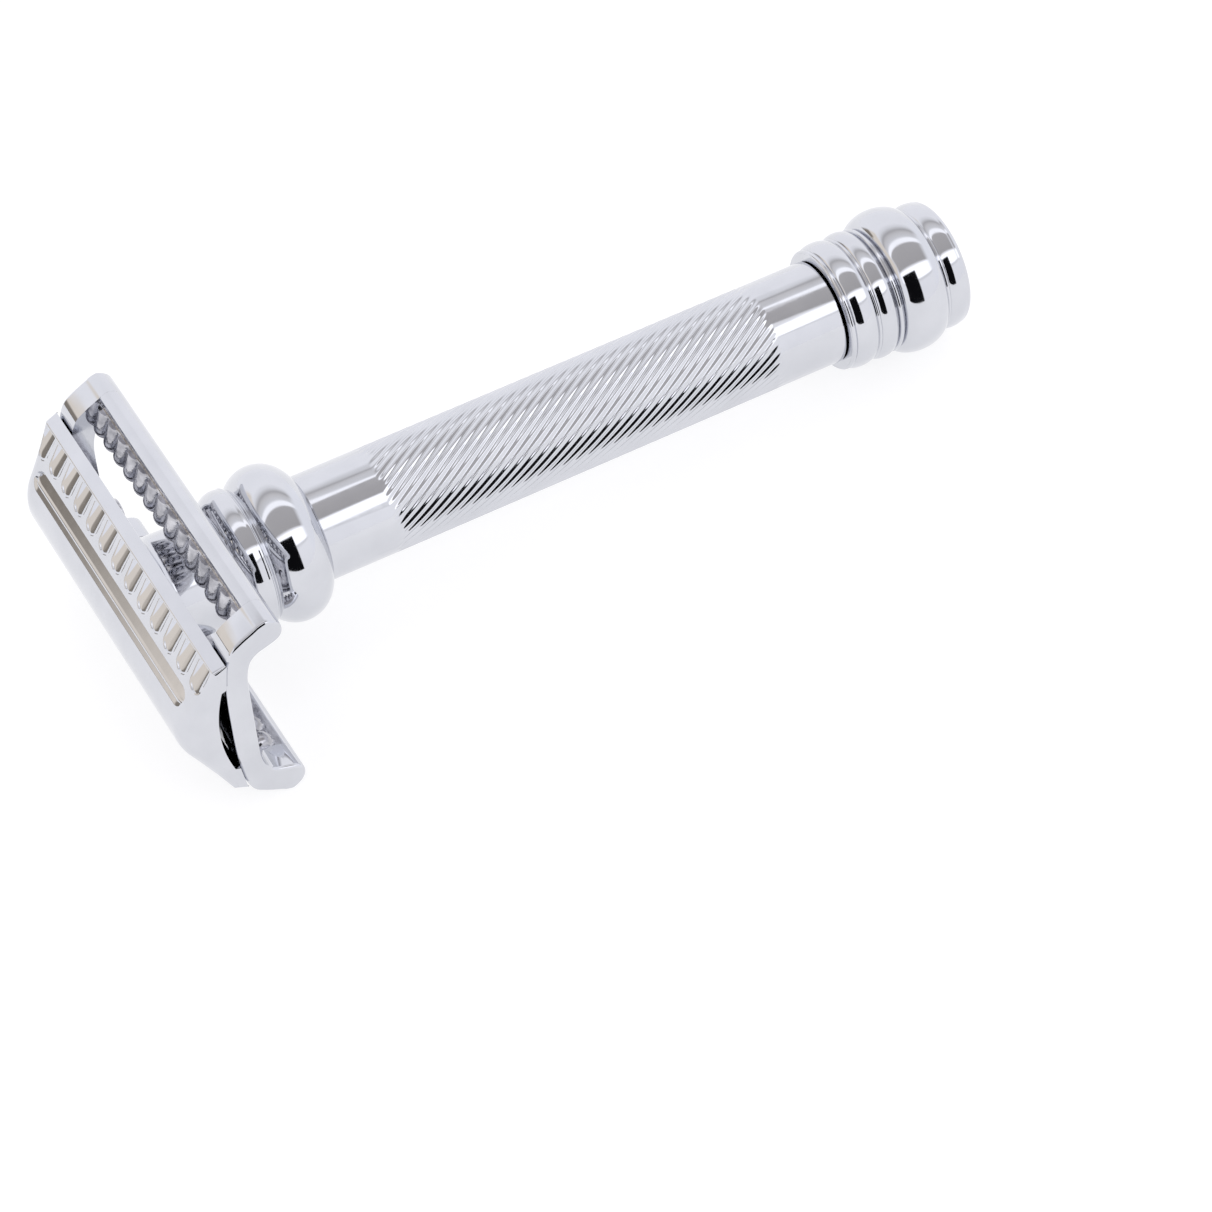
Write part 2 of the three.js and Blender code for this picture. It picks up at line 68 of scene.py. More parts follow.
camera_data = bpy.data.cameras.new("camera")
camera_data.lens = CAMERA_LENS_MM
camera_data.sensor_width = CAMERA_SENSOR_MM
camera_data.clip_start = CAMERA_NEAREST
camera = bpy.data.objects.new("camera", camera_data)
bpy.context.scene.collection.objects.link(camera)
looks = CAMERA_LOOKS.normalized()
right = (CAMERA_RIGHT - looks * CAMERA_RIGHT.dot(looks)).normalized()
camera_axes = Matrix((right, right.cross(looks), -looks)).transposed().to_4x4()
camera.matrix_world = Matrix.Translation(CAMERA_AT) @ camera_axes
bpy.context.scene.camera = camera

# ---- materials ------------------------------------------------------------------------------
# Noise scales are per metre and bump distances are in metres.

NOISE_MIDDLE = (0.3, 0.7)
CHROME_TINTS = ((0.62, 0.63, 0.67, 1), (0.66, 0.67, 0.71, 1))
CAST_TINTS = ((0.32, 0.32, 0.35, 1), (0.64, 0.64, 0.68, 1))
CAST_HAZE = (0.10, 0.24)
STEEL_TINTS = ((0.42, 0.42, 0.44, 1), (0.60, 0.60, 0.62, 1))
STEEL_HAZE = (0.22, 0.38)
BRASS_TINTS = ((0.58, 0.40, 0.14, 1), (0.76, 0.57, 0.24, 1))
BRASS_HAZE = (0.20, 0.36)
TURNING_STRETCH = (9, 0.35, 0.35)


def new_material(name):
    material = bpy.data.materials.new(name)
    material.use_nodes = True
    tree = material.node_tree
    return material, tree, tree.nodes["Principled BSDF"]


def noise(tree, scale, detail, stretch=(1, 1, 1)):
    """Noise on the object's own coordinates, in metres. stretch multiplies the scale per axis."""
    place = tree.nodes.new("ShaderNodeTexCoord")
    mapping = tree.nodes.new("ShaderNodeMapping")
    mapping.inputs["Scale"].default_value = stretch
    texture = tree.nodes.new("ShaderNodeTexNoise")
    texture.inputs["Scale"].default_value = scale
    texture.inputs["Detail"].default_value = detail
    tree.links.new(place.outputs["Object"], mapping.inputs["Vector"])
    tree.links.new(mapping.outputs["Vector"], texture.inputs["Vector"])
    return texture.outputs["Fac"]


def ramp(tree, value, low, high):
    """The middle of a noise's range spread between two colours."""
    node = tree.nodes.new("ShaderNodeValToRGB")
    for element, position, colour in zip(node.color_ramp.elements, NOISE_MIDDLE, (low, high)):
        element.position = position
        element.color = colour
    tree.links.new(value, node.inputs["Fac"])
    return node.outputs["Color"]


def grey(level):
    return (level, level, level, 1)


def greys(levels):
    return [grey(level) for level in levels]


def bump(tree, shader, height, strength, distance):
    node = tree.nodes.new("ShaderNodeBump")
    node.inputs["Strength"].default_value = strength
    node.inputs["Distance"].default_value = distance
    tree.links.new(height, node.inputs["Height"])
    tree.links.new(node.outputs["Normal"], shader.inputs["Normal"])


def chrome(name, haze_levels, orange_peel):
    """Chrome plate: a cool mirror with a faint unevenness and slightly hazed patches."""
    material, tree, shader = new_material(name)
    shader.inputs["Metallic"].default_value = 1
    tint = ramp(tree, noise(tree, scale=260, detail=3), *CHROME_TINTS)
    tree.links.new(tint, shader.inputs["Base Color"])
    haze = ramp(tree, noise(tree, scale=900, detail=6), *greys(haze_levels))
    tree.links.new(haze, shader.inputs["Roughness"])
    unevenness = noise(tree, scale=420, detail=2)
    bump(tree, shader, unevenness, strength=orange_peel, distance=0.00002)
    return material


def cast_chrome(name):
    """Chrome over a casting that was not polished: the same plate on a pebbled surface."""
    material, tree, shader = new_material(name)
    shader.inputs["Metallic"].default_value = 1
    tint = ramp(tree, noise(tree, scale=800, detail=4), *CAST_TINTS)
    tree.links.new(tint, shader.inputs["Base Color"])
    haze = ramp(tree, noise(tree, scale=1500, detail=5), *greys(CAST_HAZE))
    tree.links.new(haze, shader.inputs["Roughness"])
    pebbles = noise(tree, scale=2200, detail=2)
    bump(tree, shader, pebbles, strength=0.45, distance=0.00005)
    return material


def turned_metal(name, tints, haze_levels):
    """Bare turned metal: fine lines round the handle's axis, and patches of a different tone."""
    material, tree, shader = new_material(name)
    shader.inputs["Metallic"].default_value = 1
    tint = ramp(tree, noise(tree, scale=500, detail=4), *tints)
    tree.links.new(tint, shader.inputs["Base Color"])
    lines = noise(tree, scale=900, detail=5, stretch=TURNING_STRETCH)
    tree.links.new(ramp(tree, lines, *greys(haze_levels)), shader.inputs["Roughness"])
    bump(tree, shader, lines, strength=0.4, distance=0.00003)
    return material


CHROME = chrome("chrome_polished", haze_levels=(0.035, 0.09), orange_peel=0.10)
GRIP_CHROME = chrome("chrome_grip", haze_levels=(0.06, 0.13), orange_peel=0.16)
CAST_CHROME = cast_chrome("chrome_cast")
STEEL = turned_metal("steel_turned", STEEL_TINTS, STEEL_HAZE)
BRASS = turned_metal("brass_turned", BRASS_TINTS, BRASS_HAZE)

# ---- mesh helpers ---------------------------------------------------------------------------

CORNER_SHARE = 0.45  # a rounded corner takes at most this share of each side


class Shells:
    """Closed shells gathered into one mesh, each face with a material number."""

    def __init__(self):
        self.vertices, self.faces, self.materials = [], [], []

    def add(self, shell, material=0):
        """material is a number, or a function of the middle of a face that gives one."""
        vertices, faces = shell
        start = len(self.vertices)
        self.vertices += vertices
        self.faces += [tuple(start + i for i in face) for face in faces]
        if callable(material):
            places = np.asarray(vertices)
            self.materials += [material(*places[list(face)].mean(0)) for face in faces]
        else:
            self.materials += [material] * len(faces)
        return self


def piece(name, shells, body, replaces, materials, sharp=35):
    """A mesh from razor-frame millimetres, riding on a body in place of a CAD node."""
    mesh = bpy.data.meshes.new(name)
    mesh.from_pydata(shells.vertices, [], shells.faces)
    mesh.transform(RAZOR @ Matrix.Scale(MM, 4))
    for material in materials:
        mesh.materials.append(material)
    mesh.polygons.foreach_set("material_index", shells.materials)
    mesh.shade_smooth()
    mesh.set_sharp_from_angle(angle=math.radians(sharp))
    made = bpy.data.objects.new(name, mesh)
    bpy.context.scene.collection.objects.link(made)
    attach(made, body)
    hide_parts(replaces)


def loft(loops, ring=False):
    """A closed shell through equal closed loops. ring joins the last loop to the first."""
    loops = np.asarray(loops, float)
    rows, count = loops.shape[:2]
    row = np.arange(rows if ring else rows - 1)[:, None]
    step = np.arange(count)[None, :]
    ahead, turn = (row + 1) % rows, (step + 1) % count
    quads = np.stack([row * count + step, row * count + turn,
                      ahead * count + turn, ahead * count + step], -1).reshape(-1, 4)
    points = loops.reshape(-1, 3)
    p0, p1, p2, p3 = (points[quads[:, k]] for k in range(4))
    volume = (p0 * np.cross(p1, p2)).sum() + (p0 * np.cross(p2, p3)).sum()
    ends = []
    if not ring:
        ends = [tuple(range(count))[::-1], tuple(range((rows - 1) * count, rows * count))]
        for end in ends:
            fan = points[list(end)]
            volume += (fan[0] * np.cross(fan[1:-1], fan[2:])).sum()
    faces = [tuple(q) for q in quads.tolist()] + ends
    if volume < 0:
        faces = [face[::-1] for face in faces]
    return [tuple(p) for p in points.tolist()], faces


def turned(profile, segments):
    """A ring turned about the handle's axis from a closed outline of (along, radius).

    The outline of a solid piece stays just off the axis, so it is a ring with a hair-thin hole.
    """
    profile = np.asarray(profile, float)
    angle = 2 * np.pi * np.arange(segments)[:, None] / segments
    along = np.broadcast_to(profile[:, 0], (segments, len(profile)))
    radius = profile[:, 1]
    return loft(np.stack([along, radius * np.cos(angle), radius * np.sin(angle)], -1), ring=True)


def eased(points, steps):
    """A smooth curve through the points, with the given number of steps in each gap."""
    points = [np.array(p, float) for p in points]
    ends = [2 * points[0] - points[1], *points, 2 * points[-1] - points[-2]]
    curve = []
    for p0, p1, p2, p3 in zip(ends, ends[1:], ends[2:], ends[3:]):
        for t in np.arange(steps) / steps:
            curve.append(0.5 * (2 * p1 + (p2 - p0) * t + (2 * p0 - 5 * p1 + 4 * p2 - p3) * t ** 2
                                + (3 * p1 - p0 - 3 * p2 + p3) * t ** 3))
    return curve + [points[-1]]


def rounded(points, radius, steps=5):
    """A closed outline with its corners rounded off."""
    result = []
    for before, here, after in zip(points[-1:] + points[:-1], points, points[1:] + points[:1]):
        before, here, after = (np.array(p, float) for p in (before, here, after))
        back, ahead = before - here, after - here
        start = here + back * min(radius / np.linalg.norm(back), CORNER_SHARE)
        end = here + ahead * min(radius / np.linalg.norm(ahead), CORNER_SHARE)
        for t in np.linspace(0, 1, steps + 1):
            result.append((1 - t) ** 2 * start + 2 * t * (1 - t) * here + t ** 2 * end)
    return result


def drilled(shell, holes):
    """A shell with other shells cut out of it."""
    made = []
    for vertices, faces in (shell, *holes):
        mesh = bpy.data.meshes.new("drilling")
        mesh.from_pydata(vertices, [], faces)
        made.append(bpy.data.objects.new("drilling", mesh))
        bpy.context.scene.collection.objects.link(made[-1])
    for tool in made[1:]:
        cut = made[0].modifiers.new("hole", "BOOLEAN")
        cut.operation, cut.solver, cut.object = "DIFFERENCE", "EXACT", tool
    mesh = made[0].evaluated_get(bpy.context.evaluated_depsgraph_get()).to_mesh()
    result = ([tuple(v.co) for v in mesh.vertices], [tuple(face.vertices) for face in mesh.polygons])
    for one in made:
        data = one.data
        bpy.data.objects.remove(one)
        bpy.data.meshes.remove(data)
    return result


def moved(shell, edge):
    """The same shell further along the edge."""
    return [(a, b + edge, c) for a, b, c in shell[0]], shell[1]


def smooth_max(x, y, width):
    """The larger of two values, with the change-over rounded off."""
    return 0.5 * (x + y + np.sqrt((x - y) ** 2 + width ** 2))


# ---- cap ------------------------------------------------------------------------------------

CAP_HALF_LENGTH = 20.999
CAP_HALF_WIDTH = 9.28
CROWN = -9.84
CROWN_RADIUS = 6.0
CROWN_STEPS = 40
FLANK_ANGLE = math.atan(0.62)
FLANK_SPACING = 0.075
STRIP_START = 8.75  # the flutes end here, in a plain strip
STRIP_STEPS = 14
CAP_EDGE = -4.08
CAP_LIP = (9.05, -4.0)
LIP_SPAN = (8.6, 6.0)
LIP_GAP = 0.1
HOLLOW_START = 5.8
HOLLOW_ROOF = -5.95
HOLLOW_RISE = 0.95
PLATE_TOP = ((0, 5.0, 8.76, 10.44), (-4.58, -4.48, -3.97, -3.28))
GROOVE = (3.1, 5.15)
GROOVE_DEPTH = 0.5
GROOVE_BOW = 0.2
GROOVE_RIDGE = 0.06
GROOVE_RIDGE_AT = 0.32  # this and the two below are shares of the groove's width
GROOVE_RIDGE_WIDTH = 0.06
GROOVE_WALL = 0.13
GROOVE_TIP = (17.3, 18.5)
FLUTES = 13
FLUTE_PITCH = 3.19
FLUTE_HALF_WIDTH = 1.22
FLUTE_TIP = 5.8
FLUTE_TIP_LENGTH = 0.9
FLUTE_DEPTH = 0.16
FLUTE_SLOPE = 0.125
FLUTE_END = 8.6
FLUTE_END_WALL = 0.12
FLUTE_SQUARENESS = 4
FLUTE_STEPS = 32
EDGE_SOFTNESS = 0.05
END_ROUND = 0.2  # at the cap's edge
END_ROUND_MORE = 2.55  # added at the crown
END_REACH = 2.9
END_SPAN = 2.8
END_STEPS = 30
END_BLEND = 4
END_MIDDLE = -5.9
END_INSET = (0.97, 1, 0.985)
POST_SPACING = 26
CAP_POST = [(-6.4, 0.02), (-6.4, 1.5), (-1.6, 1.5), (-1.6, 0.02)]
CAP_BOSS = [(-6.6, 2.82), (-6.6, 4.0), (-5.15, 4.2), (-4.95, 4.0), (-4.95, 2.82)]


def cap_outline():
    """The cap's outer side for C >= 0 as rows of (across, along, inward across, inward along)."""
    crown_end = CROWN_RADIUS * math.sin(FLANK_ANGLE)
    centre = CROWN + CROWN_RADIUS
    flank_start = centre - CROWN_RADIUS * math.cos(FLANK_ANGLE)
    rows = []
    for angle in np.linspace(0, FLANK_ANGLE, CROWN_STEPS):
        rows.append((CROWN_RADIUS * math.sin(angle), centre - CROWN_RADIUS * math.cos(angle),
                     -math.sin(angle), math.cos(angle)))
    for across in np.arange(crown_end, STRIP_START, FLANK_SPACING)[1:]:
        rows.append((across, flank_start + math.tan(FLANK_ANGLE) * (across - crown_end),
                     -math.sin(FLANK_ANGLE), math.cos(FLANK_ANGLE)))
    strip_top = flank_start + math.tan(FLANK_ANGLE) * (STRIP_START - crown_end)
    for share in np.linspace(0, 1, STRIP_STEPS):
        rows.append((STRIP_START + share * (CAP_HALF_WIDTH - STRIP_START),
                     strip_top + share * (CAP_EDGE - strip_top),
                     -math.sin(FLANK_ANGLE), math.cos(FLANK_ANGLE)))
    return np.array(rows)


def plate_top(across):
    """How far along the handle the plate's upper side is."""
    return np.interp(np.abs(across), *PLATE_TOP)


def cap_underside():
    """From the edge inwards: a lip that rests just off the plate, a step, then the hollow."""
    lip = [(c, plate_top(c) - LIP_GAP) for c in np.linspace(*LIP_SPAN, 8)]
    hollow = [(c, HOLLOW_ROOF + HOLLOW_RISE * (c / HOLLOW_START) ** 2)
              for c in np.linspace(HOLLOW_START, 0, 24)]
    return [CAP_LIP, *lip, *hollow]


def cap_cut(outline, middle):
    """How far each point of the outline is cut inwards at a place along the edge."""
    across, along = outline[:, 0], outline[:, 1]
    crown_end = CROWN_RADIUS * math.sin(FLANK_ANGLE)
    flank_start = CROWN + CROWN_RADIUS * (1 - math.cos(FLANK_ANGLE))
    sunk = ((along - flank_start) * math.cos(FLANK_ANGLE)
            - (across - crown_end) * math.sin(FLANK_ANGLE))
    down_flank = np.maximum(across - FLUTE_TIP, 0) / math.cos(FLANK_ANGLE)
    nearest = np.clip(np.round(middle / FLUTE_PITCH), -(FLUTES // 2), FLUTES // 2) * FLUTE_PITCH
    beside = middle - nearest
    tip = 1 - np.minimum(down_flank / FLUTE_TIP_LENGTH, 1)
    half_width = FLUTE_HALF_WIDTH * np.sqrt(1 - tip ** 2) + 1e-3
    section = np.where(down_flank > 0, np.maximum(1 - (beside / half_width) ** FLUTE_SQUARENESS, -1), -1)
    flute = section * (FLUTE_DEPTH + FLUTE_SLOPE * down_flank)
    flute = flute * np.clip((FLUTE_END - across) / FLUTE_END_WALL, 0, 1) - np.maximum(sunk, 0)
    narrowed = np.clip((abs(middle) - GROOVE_TIP[0]) / (GROOVE_TIP[1] - GROOVE_TIP[0]), 0, 0.999)
    share = (across - GROOVE[0]) / (GROOVE[1] - GROOVE[0])
    share = 0.5 + (share - 0.5) / math.sqrt(1 - narrowed ** 2)
    wall = np.clip((1 - share) / GROOVE_WALL, -1, 1)
    ridge = GROOVE_RIDGE * np.exp(-((share - GROOVE_RIDGE_AT) / GROOVE_RIDGE_WIDTH) ** 2)
    floor_depth = GROOVE_DEPTH * share * (1 + GROOVE_BOW - GROOVE_BOW * share)
    groove = (floor_depth - ridge) * np.sin(wall * np.pi / 2)
    groove = np.where(share > 1, -1, groove)
    if abs(middle) > GROOVE_TIP[1]:
        groove = np.full_like(groove, -1)
    end_round = END_ROUND + END_ROUND_MORE * (1 - (across / CAP_HALF_WIDTH) ** 2)
    into = np.clip((abs(middle) - (CAP_HALF_LENGTH - end_round)) / end_round, 0, 1)
    ending = end_round * (1 - np.sqrt(1 - into ** 2))
    cut = smooth_max(smooth_max(flute, groove, EDGE_SOFTNESS), 0, EDGE_SOFTNESS)
    cut = np.maximum(cut - EDGE_SOFTNESS / 2, 0)
    blend = EDGE_SOFTNESS * np.minimum(1, into * END_BLEND)
    return np.where(into > 0, smooth_max(cut, ending, blend), cut)


def cap_stations():
    """Places along the edge, close together across the flutes and round the two ends."""
    steps = FLUTES * FLUTE_STEPS // 2
    inner = np.arange(-steps, steps + 1) * FLUTE_PITCH / FLUTE_STEPS
    inner = inner[np.abs(inner) < CAP_HALF_LENGTH - END_REACH]
    end = CAP_HALF_LENGTH - END_SPAN * (1 - np.sin(np.linspace(0, np.pi / 2, END_STEPS)))
    return np.concatenate([-end[::-1], inner, end])


def cap_shell():
    outline, under = cap_outline(), np.array(cap_underside())
    loops = []
    for middle in cap_stations():
        cut = cap_cut(outline, middle)[:, None]
        side = outline[:, :2] + outline[:, 2:] * cut
        half = np.vstack([side, under])
        whole = np.vstack([half, (half * (-1, 1))[::-1][1:-1]])
        loops.append(np.stack([whole[:, 1], np.full(len(whole), middle), whole[:, 0]], -1))
    inset = []
    for loop in (loops[0], loops[-1]):
        centre = np.array((END_MIDDLE, loop[0, 1], 0))
        inset.append(centre + (loop - centre) * END_INSET)
    return loft([inset[0], *loops, inset[1]])


POLISHED, CAST = 0, 1  # material numbers of the cap and the plate
cap_parts = Shells().add(cap_shell(), POLISHED)
cap_parts.add(turned(rounded(CAP_BOSS, radius=0.12), segments=96), CAST)
post = turned(rounded(CAP_POST, radius=0.3), segments=48)
for side in (-1, 1):
    cap_parts.add(moved(post, side * POST_SPACING / 2), CAST)
piece("cap_shell", cap_parts, "cap", "top_cap", [CHROME, CAST_CHROME], sharp=40)

# ---- stud with its thread -------------------------------------------------------------------

STUD_RADIUS = 2.5
STUD_SPAN = (-7.9, 12.41)
STUD_STEP = 0.1
STUD_SEGMENTS = 40
THREAD_PITCH = 0.8
THREAD_DEPTH = 0.4
THREAD_START = -4.6
LEAD_IN_START = 11.7
LEAD_IN_SLOPE = 0.8


def stud_shell():
    """A right-hand thread, with a plain shank in the cap and a cone at the free end."""
    loops = []
    angle = 2 * np.pi * np.arange(STUD_SEGMENTS) / STUD_SEGMENTS
    for along in np.arange(*STUD_SPAN, STUD_STEP):
        turn = (along / THREAD_PITCH - angle / (2 * np.pi)) % 1
        cut = THREAD_DEPTH * np.abs(2 * turn - 1)
        lead_in = max(0, (along - LEAD_IN_START) * LEAD_IN_SLOPE)
        radius = STUD_RADIUS - np.maximum(cut if THREAD_START < along else 0, lead_in)
        loops.append(np.stack([np.full(STUD_SEGMENTS, along),
                               radius * np.cos(angle), radius * np.sin(angle)], -1))
    return loft(loops)


piece("stud_threaded", Shells().add(stud_shell()), "cap", "cap_stud", [STEEL], sharp=50)

# ---- base plate -----------------------------------------------------------------------------

PLATE_HALF_LENGTH = 20.8
RIB_WIDTH = 3.5
SLOT_END = PLATE_HALF_LENGTH - RIB_WIDTH
RIB_ROUND = 0.42
RIB_FACE_INSET = 0.06
RIB_TOP = [(0, -4.58), (2.5, -4.57), (5.0, -4.48), (7.0, -4.28), (8.76, -3.97), (10.44, -3.28),
           (11.38, -2.11), (12.35, -0.3)]
BAR_SIDE = [(12.5, -0.12), (12.71, 0.5), (12.75, 1.0), (12.3, 1.8), (11.7, 2.3), (11.0, 2.5),
            (10.2, 2.35), (9.6, 1.7), (9.15, 0.5)]
RIB_UNDER = [(8.9, -0.3), (8.4, -1.0), (7.6, -1.5), (6.1, -1.85), (4.1, -1.95), (0, -1.96)]
BAR_BACK = [(9.4, -0.1), (10.6, -0.2), (11.8, -0.18)]
BAR_CENTRE = (11.2, 0.314)
BAR_ANGLES = 84
BAR_OVERLAP = 0.02
BAR_TOP = (12.5, -0.12)
BAR_TOP_SLOPE = 0.86
BAR_TOP_FROM = 8  # nearer the middle than this the bar isn't cut back
BAR_POLISHED = (12.25, 1.6)
LOBES = 14
LOBE_PITCH = 2.5
LOBE_STEPS = 24
LOBE_RADIUS = 1.26
LOBE_TIP = (9.2, -0.48)
VALLEY_FLOOR = 0.02
WEB_OUTLINE = [(0, -4.58), (3, -4.53), (6.4, -4.32), (6.7, -4.15), (6.7, -3.5), (6.5, -3.35), (0, -3.35)]
WEB_OVERLAP = 0.05
HOLE_SPAN = (-5, -3)
STUD_HOLE_RADIUS = 2.8
POST_HOLE_RADIUS = 1.8
BOSS = [(-3.45, 2.82), (-3.45, 6.9), (-3.1, 6.35), (-2.6, 6.08), (3.3, 6.0), (3.6, 5.7), (3.6, 4.62),
        (9.0, 4.6), (9.2, 4.4), (9.2, 4.0), (2.5, 4.0), (2.5, 2.82)]


def mirrored_half(half):
    """A half outline starting and ending on the middle, completed on the other side."""
    half = np.array(half)
    return np.vstack([half, (half * (-1, 1))[::-1][1:-1]])


def outward(outline):
    """Unit directions out of a closed outline of (across, along) points."""
    tangent = np.roll(outline, -1, 0) - np.roll(outline, 1, 0)
    normal = np.stack([tangent[:, 1], -tangent[:, 0]], -1)
    normal /= np.linalg.norm(normal, axis=1)[:, None]
    x, y = outline.T
    area = (x * np.roll(y, -1) - y * np.roll(x, -1)).sum()
    return normal if area > 0 else -normal


def rib_shell(side):
    """The solid end of the plate, with its outer end face softly rounded."""
    half = eased(RIB_TOP, 6) + eased(BAR_SIDE, 6) + eased(RIB_UNDER, 6)
    outline = mirrored_half(half)
    out = outward(outline)
    loops = [(outline, SLOT_END)]
    for turn in np.linspace(0, np.pi / 2, 9):
        inset = outline - out * RIB_ROUND * (1 - np.cos(turn))
        place = PLATE_HALF_LENGTH - RIB_ROUND * (1 - np.sin(turn))
        loops.append((inset, place))
    loops.append((outline - out * (RIB_ROUND + RIB_FACE_INSET), PLATE_HALF_LENGTH))
    return loft([np.stack([o[:, 1], np.full(len(o), side * p), o[:, 0]], -1) for o, p in loops])


def reach(outline, angles):
    """How far a closed outline is from the bar's centre in each direction."""
    start = outline - np.array(BAR_CENTRE)
    bearing = np.arctan2(start[:, 1], start[:, 0])
    order = np.argsort(bearing)
    return np.interp(angles, bearing[order], np.linalg.norm(start, axis=1)[order], period=2 * np.pi)


def bar_shell(side):
    """A guard bar whose inner side is a row of round lobes with sharp valleys between."""
    angles = np.linspace(-np.pi, np.pi, BAR_ANGLES, endpoint=False)
    bar = np.array(eased(BAR_SIDE, 8) + BAR_BACK)
    plain = reach(bar, angles)
    tip = np.array(LOBE_TIP) - BAR_CENTRE
    axis = tip / np.linalg.norm(tip)
    length = np.linalg.norm(tip)
    facing = np.stack([np.cos(angles), np.sin(angles)], -1)
    ahead, beside = facing @ axis, np.abs(facing @ np.array((-axis[1], axis[0])))
    loops = []
    steps = LOBES * LOBE_STEPS // 2
    places = np.arange(-steps, steps + 1) * LOBE_PITCH / LOBE_STEPS
    for place in places[np.abs(places) <= SLOT_END + BAR_OVERLAP]:
        index = np.clip(np.floor(place / LOBE_PITCH), -LOBES // 2, LOBES // 2 - 1) + 0.5
        off = place - index * LOBE_PITCH
        radius = math.sqrt(max(LOBE_RADIUS ** 2 - off ** 2, VALLEY_FLOOR))
        straight = radius / np.maximum(beside, 1e-6)
        inside = np.maximum(radius ** 2 - (length * beside) ** 2, 0)
        cap = length * ahead + np.sqrt(inside)
        lobe = np.where(straight * ahead <= length, straight, cap)
        lobe = np.where(ahead > 0, lobe, 0)
        size = np.maximum(plain, lobe)
        across = BAR_CENTRE[0] + size * np.cos(angles)
        along = BAR_CENTRE[1] + size * np.sin(angles)
        ceiling = BAR_TOP[1] - BAR_TOP_SLOPE * (BAR_TOP[0] - across)
        along = np.where(across > BAR_TOP_FROM, np.maximum(along, ceiling), along)
        loops.append(np.stack([along, np.full(BAR_ANGLES, place), side * across], -1))
    return loft(loops)


def web_shell():
    """The thin plate between the ribs."""
    outline = mirrored_half(WEB_OUTLINE)
    return loft([np.stack([outline[:, 1], np.full(len(outline), p), outline[:, 0]], -1)
                 for p in (-SLOT_END - WEB_OVERLAP, SLOT_END + WEB_OVERLAP)])


def bar_finish(a, b, c):
    """The bar's outside is polished; its lobes and inner side keep the casting's surface."""
    return CAST if abs(c) < BAR_POLISHED[0] and a < BAR_POLISHED[1] else POLISHED


def hole(radius, segments):
    low, high = HOLE_SPAN
    return turned([(low, 0.01), (low, radius), (high, radius), (high, 0.01)], segments)


plate_parts = Shells()
for side in (-1, 1):
    plate_parts.add(rib_shell(side), POLISHED)
    plate_parts.add(bar_shell(side), bar_finish)
post_hole = hole(POST_HOLE_RADIUS, segments=48)
holes = [moved(post_hole, side * POST_SPACING / 2) for side in (-1, 1)]
holes = [hole(STUD_HOLE_RADIUS, segments=64), *holes]
plate_parts.add(drilled(web_shell(), holes), CAST)
plate_parts.add(turned(rounded(BOSS, radius=0.15, steps=3), segments=128), POLISHED)
piece("base_plate_cast", plate_parts, "handle", "base_plate", [CHROME, CAST_CHROME], sharp=38)

# ---- collar, grip and knob ------------------------------------------------------------------

# Rings and beads are (place along the handle, radius, half width, height).

CORE = 5.89
BORE = 4.9
COLLAR_SPAN = (3.9, 13.75)
COLLAR_RINGS = [(6.1, 7.74, 2.15, 2.0), (10.5, 8.73, 3.75, 3.75)]
COLLAR_BEADS = [(6.75, 7.72, 0.26, 0.16), (7.3, 7.36, 0.26, 0.16), (7.85, 7.48, 0.24, 0.16)]
KNOB_CORE = 6.72
KNOB_RINGS = [(78.75, 7.31, 1.45, 0.65), (81.5, 7.38, 1.1, 0.6),
              (86.2, 8.29, 2.75, 1.5), (90.45, 7.31, 1.3, 0.6)]
KNOB_BEADS = [(77.08, 6.98, 0.26, 0.26), (80.3, 7.06, 0.22, 0.22),
              (82.98, 7.2, 0.28, 0.28), (89.05, 7.12, 0.22, 0.22)]
RING_SPACING = 0.035
RING_SEGMENTS = 160


def ringed(rings, core, start, end):
    """An outline of (along, radius) over round rings on a plain core."""
    along = np.linspace(start, end, int((end - start) / RING_SPACING))
    radius = np.full(len(along), core)
    for place, top, half, height in rings:
        off = np.clip((along - place) / half, -1, 1)
        ring = np.where(np.abs(off) < 1, top - height * (1 - np.sqrt(1 - off ** 2)), core)
        radius = np.maximum(radius, ring)
    return list(zip(along, radius))


collar = ringed(COLLAR_RINGS + COLLAR_BEADS, CORE, *COLLAR_SPAN)
collar = [(COLLAR_SPAN[0], BORE), *collar, (COLLAR_SPAN[1], BORE)]
piece("collar_turned", Shells().add(turned(collar, RING_SEGMENTS)), "handle", "neck_collar",
      [CHROME])

GRIP_START = 14.05
GRIP_END = 76.58
GRIP_CHAMFER = 0.1
GRIP_CHAMFER_LENGTH = 0.12
SPIRAL = (21.7, 68.8)
SPIRAL_STATIONS = 150
SPIRAL_GROOVES = 40
SPIRAL_LEAD = 62.0
SPIRAL_DEPTH = 0.14
SPIRAL_RUN_OUT = 1.2
POINTS_PER_GROOVE = 10


